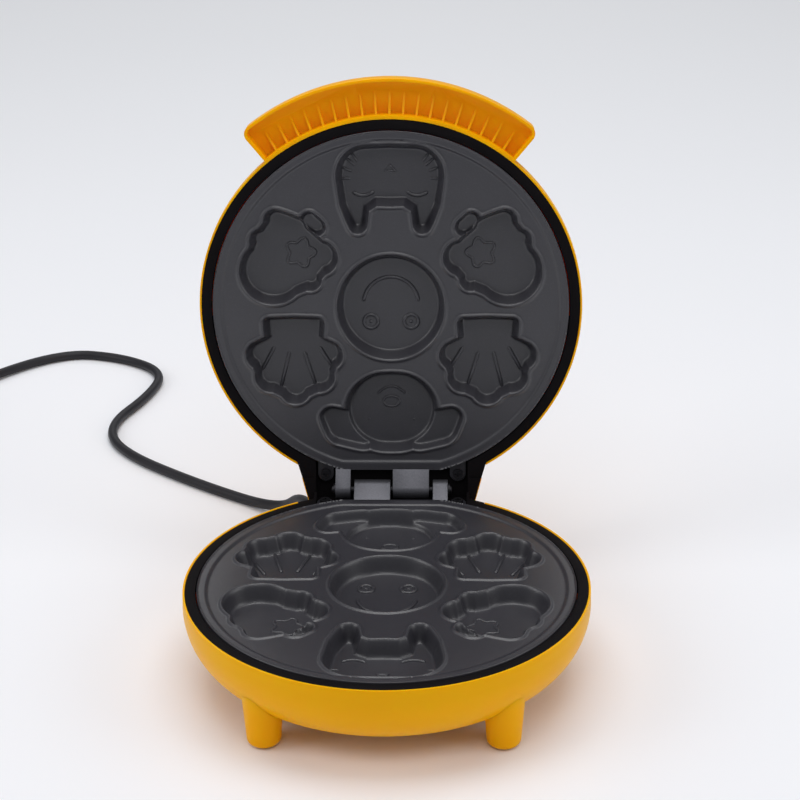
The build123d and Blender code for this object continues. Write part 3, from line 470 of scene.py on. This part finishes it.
def cast_depth(places):
    # Depth of the cooking face: rim with its channel, flat, beads, then drafted pockets
    inward = edge_gap(places)
    depth = flat_level * np.clip((inward - rim_land) / rim_fall, 0, 1)
    across = np.clip((inward - channel_start) / channel_width, 0, 1)
    depth += channel_depth * (0.5 - 0.5 * np.cos(2 * pi * across))
    crest = np.full(len(places), 1e3)
    sunk = np.zeros(len(places))
    for lobes, floor in pockets:
        gap = np.min([hull_gap(places, lobe) for lobe in lobes], axis=0)
        crest = np.minimum(crest, gap)
        wall = bead_top + wall_slope * soft_step(-gap - bead_land, wall_softness)
        sunk = np.maximum(sunk, floor - soft_step(floor - wall, floor_softness))
    bead = 0.5 + 0.5 * np.cos(pi * np.clip(crest / bead_reach, 0, 1))
    depth = np.minimum(depth, flat_level - (flat_level - bead_top) * bead)
    return np.maximum(depth, sunk)


def cooking_face():
    # The cooking face as a fine grid moved to its depth, with a rounded edge and a skirt
    form = bmesh.new()
    count = round(2 * (plate_radius + 1) / grid_step)
    bmesh.ops.create_grid(form, x_segments=count, y_segments=count, size=plate_radius + 1)
    places = np.array([v.co.xy for v in form.verts])
    outside = edge_gap(places) < 0.28
    bmesh.ops.delete(form, geom=[v for v, out in zip(form.verts, outside) if out], context="VERTS")
    loose = [v for v in form.verts if len(v.link_faces) < 2]
    bmesh.ops.delete(form, geom=loose, context="VERTS")
    places = np.array([v.co.xy for v in form.verts])
    for vertex, depth in zip(form.verts, cast_depth(places)):
        vertex.co.z = depth
    for inset, depth in edge_rings:
        rim = [e for e in form.edges if e.is_boundary]
        grown = bmesh.ops.extrude_edge_only(form, edges=rim)["geom"]
        for vertex in [g for g in grown if isinstance(g, bmesh.types.BMVert)]:
            u, v = vertex.co.x, vertex.co.y
            if v < inset - rear_chord + 1.2 and abs(u) < rear_corner + 2.5:
                vertex.co.y = inset - rear_chord
            stretch = (plate_radius - inset) / Vector((u, v)).length
            if abs(u) > rear_corner or v > 0:
                vertex.co.x, vertex.co.y = u * stretch, max(v * stretch, inset - rear_chord)
            vertex.co.z = depth
    bmesh.ops.recalc_face_normals(form, faces=form.faces)
    middle = min(form.faces, key=lambda f: f.calc_center_median().length)
    if middle.normal.z > 0:
        bmesh.ops.reverse_faces(form, faces=form.faces)
    bmesh.ops.scale(form, vec=(0.001, 0.001, 0.001), verts=form.verts)
    return form


def raised_on_floor(form, lines, half_width):
    # Adds round-topped lines that stand about 1 mm out of the deep floors
    curve = bpy.data.curves.new("raised_lines", "CURVE")
    curve.dimensions = "3D"
    curve.bevel_depth = half_width * 0.001
    curve.bevel_resolution = 2
    curve.use_fill_caps = True
    for line in lines:
        leaving, arriving = Vector(line[1]) - Vector(line[0]), Vector(line[-1]) - Vector(line[-2])
        first = Vector(line[0]) - leaving.normalized() * half_width * 0.75
        last = Vector(line[-1]) + arriving.normalized() * half_width * 0.75
        spline = curve.splines.new("POLY")
        spline.points.add(len(line) + 1)
        for point, (u, v) in zip(spline.points, [first, *line, last]):
            point.co = (u * 0.001, v * 0.001, (deep_floor + line_sunk) * 0.001, 1.0)
        spline.points[0].radius = spline.points[-1].radius = 0.5
    holder = bpy.data.objects.new("raised_lines", curve)
    form.from_mesh(bpy.data.meshes.new_from_object(holder))
    bpy.data.objects.remove(holder)


def plate_place(u_way, v_way, w_way, origin):
    # Takes a plate's own axes, u, v and depth, to the object's
    return Matrix.Translation(origin) @ Matrix((u_way, v_way, w_way)).transposed().to_4x4()


lid_turn = radians(97)
pin_y, pin_z = 77.0, 53.5
plate_reach = 107.4
face_gap = 0.5
lid_middle = (
    0,
    (pin_y - plate_reach * cos(lid_turn) + face_gap * sin(lid_turn)) * 0.001,
    (pin_z + plate_reach * sin(lid_turn) + face_gap * cos(lid_turn)) * 0.001,
)
plate_places = {
    "base": plate_place(
        (1, 0, 0), (0, -1, 0), (0, 0, -1),
        (0, (pin_y - plate_reach) * 0.001, (pin_z - face_gap) * 0.001),
    ),
    "lid": plate_place(
        (-1, 0, 0),
        (0, -cos(lid_turn), sin(lid_turn)),
        (0, sin(lid_turn), cos(lid_turn)),
        lid_middle,
    ),
}
paint = Paint("nonstick_coating", metallic=0.0, specular_ior_level=0.85)
grain = paint.noise(0.00045, 2.0, 0.6)
speck = paint.ramp(paint.noise(0.0003, 1.0), 0.62, 0.75)
cloud = paint.noise(0.03, 3.0)
colour = paint.mix(cloud, screen_colour(43, 42, 47), screen_colour(50, 49, 55))
colour = paint.mix(speck * 0.35, colour, screen_colour(104, 104, 112))
roughness = 0.29 + 0.10 * grain - 0.06 * speck
coating = paint.finish(colour, roughness, paint.bumps(grain, 0.00009, 0.8))
# Knuckles: a lighter metallic grey than the coating round them, a painted highlight along the hinge
# barrels
paint = Paint("knuckle_painted_highlight", metallic=0.75)
brushed = paint.noise(0.0009, 4.0)
colour = paint.mix(brushed, screen_colour(80, 80, 85), screen_colour(112, 112, 118))
knuckle_painted_highlight = paint.finish(colour, 0.36 + 0.12 * brushed, paint.bumps(brushed, 0.00005))
whole_face = bpy.data.meshes.new("cooking_face")
form = cooking_face()
raised_on_floor(form, broad_lines, broad_line)
raised_on_floor(form, fine_lines, fine_line)
form.to_mesh(whole_face)
form.free()
for name, body, node in (
    ("baking_plate_lower", "base", "lower_plate"),
    ("baking_plate_upper", "lid", "upper_plate"),
):
    place = plate_places[body]
    form = bmesh.new()
    form.from_mesh(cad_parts[node].data)
    bmesh.ops.remove_doubles(form, verts=form.verts, dist=2e-6)
    bmesh.ops.transform(form, matrix=place.inverted(), verts=form.verts)
    centres = np.array([f.calc_center_median() for f in form.faces])[:, :2] * 1000
    # The knuckles and the screw ears, outside the outline, keep the part's own mesh
    within = [f for f, gap in zip(form.faces, edge_gap(centres)) if gap > -0.01]
    bmesh.ops.delete(form, geom=within, context="FACES")
    round_edges(form, 40, 0.0003)
    # The knuckles' faces take the second finish, their painted highlight
    for face in form.faces:
        face.material_index = 1 if abs(face.calc_center_median().x) < knuckles_reach else 0
    form.from_mesh(whole_face)
    bmesh.ops.transform(form, matrix=place, verts=form.verts)
    plate = new_piece(name, form, body, coating, [node], 75)
    plate.data.materials.append(knuckle_painted_highlight)


# Bowl: one glossy yellow moulding with a round bottom, screw posts inside and vents in
# its floor. The feet are mouldings of the same plastic, screwed on from beneath.
paint = Paint(
    "yellow_plastic", specular_ior_level=0.09, subsurface_weight=0.3, subsurface_scale=0.004
)
broad = paint.noise(0.05, 2.0)
skin = paint.noise(0.0012, 2.0)
colour = paint.mix(broad, screen_colour(248, 172, 0), screen_colour(254, 180, 0))
yellow = paint.finish(colour, 0.30 + 0.1 * skin, paint.bumps(skin, 0.00003, 0.6))
new_piece("bowl", from_cad("base_shell", 0.0004), "base", yellow, ["base_shell"])
dress(yellow, "foot_front_left", "foot_front_right", "foot_rear_left", "foot_rear_right")


# Lid casing: dome, tail and handle in one yellow moulding. The handle's front face is
# hollow, with thin ribs that fan out under its rim.
new_piece("lid_casing", from_cad("lid_shell", 0.00035), "lid", yellow, ["lid_shell"])


# Inner rings: heat-resistant black mouldings that carry the plates, with a fine matt
# texture. The lid's ring has the trough that the hinge knuckles lie in, and a thin flange
# on each side of it that covers the edge of the lid casing.
paint = Paint("black_moulding", specular_ior_level=0.08)
fine = paint.noise(0.0006, 3.0)
broad = paint.noise(0.02)
colour = paint.mix(broad, screen_colour(10, 8, 10), screen_colour(19, 16, 18))
black_paint = paint.finish(colour, 0.58 + 0.14 * fine, paint.bumps(fine, 0.00008))
new_piece(
    "ring_lower", from_cad("base_inner_ring", 0.0003), "base", black_paint,
    ["base_inner_ring"],
)
form = from_cad("lid_inner_ring", 0.0003)
flange_depth, flange_half = 0.6, 0.5
# Inner and outer edge of the flange, in millimetres, at its hinge end and its plate end
trough_flange = {
    (-1, -1): (44.0, -117.2),
    (1, -1): (47.1, -117.2),
    (-1, 1): (44.0, -100.6),
    (1, 1): (51.3, -100.6),
}
for side in (1, -1):
    made = bmesh.ops.create_cube(form, size=2.0)["verts"]
    for vertex in made:
        u, v = trough_flange[round(vertex.co.x), round(vertex.co.y)]
        vertex.co = Vector((side * u, v, flange_depth + flange_half * vertex.co.z)) * 0.001
    faces = list({face for vertex in made for face in vertex.link_faces})
    bmesh.ops.transform(form, matrix=plate_places["lid"], verts=made)
    bmesh.ops.recalc_face_normals(form, faces=faces)
new_piece("ring_upper", form, "lid", black_paint, ["lid_inner_ring"])


# Screws, clips and bracket: plain bright steel, turned and a little brushed. The hinge
# pin, its washers and the screws in the plates' ears are blackened.
paint = Paint("bright_steel", metallic=1.0)
brushed = paint.noise(0.0006, 4.0)
colour = paint.mix(brushed, screen_colour(168, 168, 170), screen_colour(205, 205, 207))
steel = paint.finish(colour, 0.26 + 0.16 * brushed, paint.bumps(brushed, 0.00003))
dress(steel, "foot_screws", "fuse_clip", "thermostat_bracket")
for side in ("lower", "upper"):
    for group in ("plate_screws", "clip_screws", "ring_screws", "element_clips"):
        dress(steel, f"{side}_{group}")
paint = Paint("blackened_steel", metallic=0.8)
worn = paint.noise(0.0008, 4.0)
colour = paint.mix(worn, screen_colour(28, 27, 30), screen_colour(64, 63, 67))
blackened = paint.finish(colour, 0.34 + 0.16 * worn, paint.bumps(worn, 0.00003))
dress(blackened, "hinge_pin", "pin_washers", "lower_ear_screws", "upper_ear_screws")


# Heating elements: bent steel tubes held under each plate by clips, tinted brown and blue
# by heat.
paint = Paint("heated_tube", metallic=1.0)
tint = paint.noise(0.008, 3.0)
fine = paint.noise(0.0008, 3.0)
colour = paint.mix(tint, screen_colour(96, 84, 74), screen_colour(128, 126, 134))
tube = paint.finish(colour, 0.36 + 0.18 * fine, paint.bumps(fine, 0.00004))
dress(tube, "lower_heating_element", "upper_heating_element")


# Reflectors: thin pressed dishes of aluminised steel behind the elements, with the fine
# spangle that the coating leaves.
paint = Paint("aluminised_sheet", metallic=1.0)
spangle = paint.node(
    "ShaderNodeTexVoronoi", {"feature": "F1"}, {"Vector": paint.place, "Scale": 220.0}
).out("Color")
fine = paint.noise(0.001, 3.0)
colour = paint.mix(paint.ramp(spangle, 0, 1), screen_colour(178, 180, 183), screen_colour(206, 208, 210))
sheet = paint.finish(colour, 0.3 + 0.14 * fine, paint.bumps(fine, 0.00002))
dress(sheet, "lower_reflector", "upper_reflector")


# Thermostat, terminal block and thermal fuse: brown phenolic resin, white nylon and a
# small brass-coloured can.
paint = Paint("phenolic_resin")
fleck = paint.noise(0.0015, 4.0)
colour = paint.mix(fleck, screen_colour(46, 34, 28), screen_colour(70, 52, 42))
dress(paint.finish(colour, 0.42 + 0.12 * fleck, paint.bumps(fleck, 0.00004)), "thermostat")
paint = Paint("white_nylon", subsurface_weight=0.1)
cloud = paint.noise(0.01, 2.0)
fine = paint.noise(0.0008, 2.0)
colour = paint.mix(cloud, screen_colour(226, 224, 214), screen_colour(238, 236, 228))
dress(paint.finish(colour, 0.4 + 0.1 * fine, paint.bumps(fine, 0.00004)), "terminal_block")
paint = Paint("fuse_can", metallic=1.0)
fine = paint.noise(0.001, 3.0)
colour = paint.mix(fine, screen_colour(190, 168, 110), screen_colour(214, 194, 140))
dress(paint.finish(colour, 0.25 + 0.15 * fine, paint.bumps(fine, 0.00003)), "thermal_fuse")


# Foot pads: small matt rubber discs pressed into the feet over the screws, of the same
# rubber as the strain relief.
dress(rubber_paint, "foot_pads")


# Indicator lamps: clear red and green plastic lenses pushed into the lid, each with a
# small glass lamp behind it.
def lens_paint(name, deep, pale):
    paint = Paint(name, transmission_weight=0.75, ior=1.49)
    cloud = paint.noise(0.004, 2.0)
    rings = paint.noise(0.0012, 1.0)
    colour = paint.mix(cloud, deep, pale)
    return paint.finish(colour, 0.08 + 0.08 * rings, paint.bumps(rings, 0.00006))


dress(lens_paint("red_lens", screen_colour(196, 28, 20), screen_colour(226, 52, 36)), "power_lamp_lens")
dress(lens_paint("green_lens", screen_colour(30, 150, 62), screen_colour(58, 182, 84)), "ready_lamp_lens")
lamp_glass = lens_paint("lamp_glass", screen_colour(232, 214, 196), screen_colour(246, 236, 222))
dress(lamp_glass, "power_lamp", "ready_lamp")


# Floor: a wide pale matt sheet that runs far back, with a faint cloud in its tone and painted light
# that makes it paler further back. It is part of the studio and not of the object.
form = bmesh.new()
bmesh.ops.create_grid(form, x_segments=24, y_segments=24, size=5.0)
floor_mesh = bpy.data.meshes.new("floor")
form.to_mesh(floor_mesh)
form.free()
paint = Paint("pale_sheet", specular_ior_level=0.2)
# The sheet turns paler further back: a painted gradient of light across the floor
split = paint.node("ShaderNodeSeparateXYZ", {}, {"Vector": paint.place})
distance = paint.ramp(split.out("Y"), 0.3, 2.0)
cloud = paint.noise(0.6, 2.0)
near_colour = paint.mix(cloud, screen_colour(243, 244, 248), screen_colour(246, 247, 251))
floor_mesh.materials.append(
    paint.finish(paint.mix(distance, near_colour, screen_colour(247, 248, 250)), 0.55 + 0.05 * cloud)
)
floor = bpy.data.objects.new("floor", floor_mesh)
bpy.context.scene.collection.objects.link(floor)


# Studio light: soft boxes at both sides, overhead, in front and behind, and an even pale
# surround.
def soft_box(name, place, aim, wide, high, power):
    lamp = bpy.data.lights.new(name, "AREA")
    lamp.shape = "RECTANGLE"
    lamp.size, lamp.size_y, lamp.energy = wide, high, power
    holder = bpy.data.objects.new(name, lamp)
    bpy.context.scene.collection.objects.link(holder)
    away = Vector(place) - Vector(aim)
    holder.matrix_world = Matrix.Translation(place) @ away.to_track_quat("Z", "Y").to_matrix().to_4x4()


soft_box("box_left", (-1.6, -0.4, 1.1), (0, 0, 0.12), 1.0, 1.2, 9.0)
soft_box("box_right", (1.6, -0.4, 1.0), (0, 0, 0.12), 1.0, 1.2, 7.0)
soft_box("box_above", (0.0, 0.15, 2.0), (0, 0.1, 0), 1.7, 1.1, 17.0)
soft_box("box_front", (0.1, -1.5, 2.1), (0, 0, 0.2), 1.5, 0.9, 10.0)
soft_box("box_back", (0.0, 2.2, 1.7), (0, 1.6, 0), 2.6, 1.2, 12.5)
world = bpy.context.scene.world or bpy.data.worlds.new("surround")
bpy.context.scene.world = world
world.use_nodes = True
world.node_tree.nodes["Background"].inputs["Color"].default_value = (0.93, 0.95, 1.0, 1.0)
world.node_tree.nodes["Background"].inputs["Strength"].default_value = 0.26
bpy.context.scene.view_settings.view_transform = "Standard"
